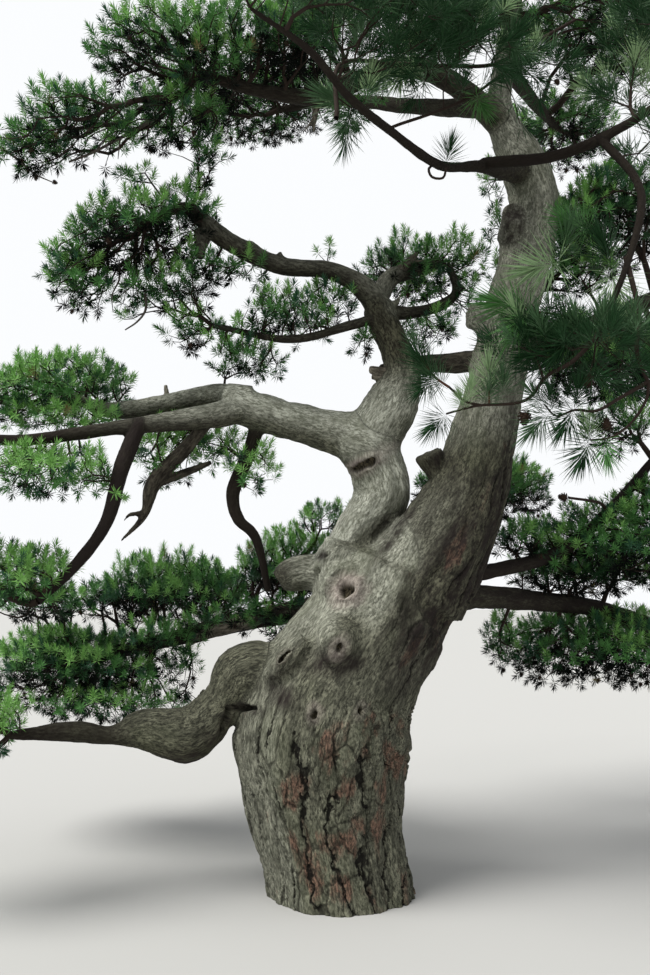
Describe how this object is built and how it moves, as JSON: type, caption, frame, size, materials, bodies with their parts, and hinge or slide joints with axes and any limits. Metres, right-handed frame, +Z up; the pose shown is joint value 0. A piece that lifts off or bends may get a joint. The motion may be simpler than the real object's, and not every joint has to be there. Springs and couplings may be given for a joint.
{
  "type": "pine tree",
  "caption": "Old leaning pine with a swollen trunk that forks in two, crooked boughs and flat masses of needles, cut flat at the ground.",
  "frame": {"origin": "middle of the flat cut under the trunk, at ground level", "axes": "+Z up the tree, -Y towards the side that the picture shows, +X to that side's right"},
  "size_m": [5.7851, 4.5788, 6.5871],
  "materials": {
    "bark": "rough grey-brown bark in plates",
    "dead_wood": "weathered bare wood",
    "needles": "dull green needles in tufts",
    "cones": "dry open cones"
  },
  "bodies": {
    "root": {"trunk": "bark", "right_stem": "bark", "left_stem": "bark", "low_left_bough": "bark", "left_bough": "bark", "left_bough_lower": "bark", "left_bough_upper": "bark", "hanging_left_bough": "bark", "dead_bough": "dead_wood", "hanging_inner_bough": "bark", "upper_left_bough": "bark", "centre_bough": "bark", "centre_low_bough": "bark", "mid_left_bough": "bark", "crossing_bough": "dead_wood", "top_left_bough": "bark", "right_bough": "bark", "low_right_bough": "bark", "low_right_fork": "bark", "low_left_back_bough": "bark", "near_bough": "bark", "near_right_bough": "bark", "near_hanging_bough": "bark", "rear_low_bough": "bark", "rear_right_bough": "bark", "rear_high_left_bough": "bark", "crown_front_bough": "bark", "rear_high_right_bough": "bark", "top_left_mass": "needles", "top_left_outer_mass": "needles", "upper_left_mass": "needles", "upper_left_low_mass": "needles", "mid_left_mass": "needles", "mid_left_low_mass": "needles", "centre_mass": "needles", "left_mass": "needles", "left_low_mass": "needles", "left_outer_mass": "needles", "hanging_inner_mass": "needles", "hanging_left_mass": "needles", "rear_left_mass": "needles", "rear_left_inner_mass": "needles", "rear_left_low_mass": "needles", "low_left_mass": "needles", "right_low_mass": "needles", "right_mid_mass": "needles", "right_mass": "needles", "right_upper_mass": "needles", "right_outer_mass": "needles", "near_top_mass": "needles", "near_right_mass": "needles", "near_hanging_mass": "needles", "crown_top_mass": "needles", "crown_left_mass": "needles", "crown_right_mass": "needles", "crown_front_mass": "needles", "rear_high_left_mass": "needles", "rear_high_right_mass": "needles", "rear_right_mass": "needles", "rear_low_mass": "needles"}
  },
  "joints": []
}
